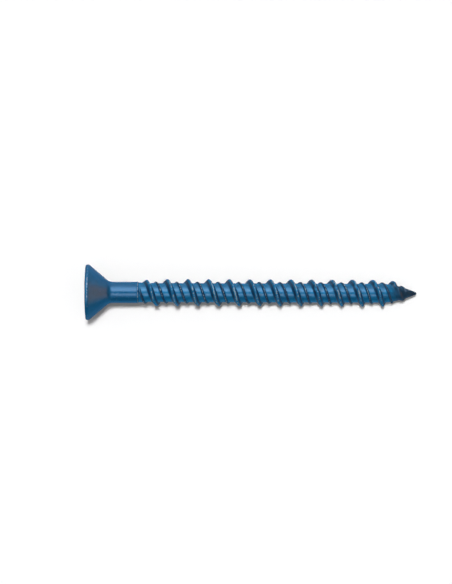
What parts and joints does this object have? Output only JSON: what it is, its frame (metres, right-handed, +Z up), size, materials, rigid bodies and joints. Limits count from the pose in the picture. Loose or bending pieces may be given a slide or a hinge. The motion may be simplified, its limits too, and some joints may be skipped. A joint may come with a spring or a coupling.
{
  "type": "concrete screw",
  "caption": "Flat-head concrete screw with a countersunk cone, cross recess, smooth neck, high and low double thread and tapered point, coated blue, lying on its side.",
  "frame": {"origin": "on the surface that the screw lies on, below the middle of its length", "axes": "+X along the lying screw from its head to its tip, +Z up"},
  "size_m": [0.0574, 0.0096, 0.0096],
  "materials": {
    "blue_coating": "semi-gloss blue corrosion coating on steel"
  },
  "bodies": {
    "root": {"screw": "blue_coating"}
  },
  "joints": []
}
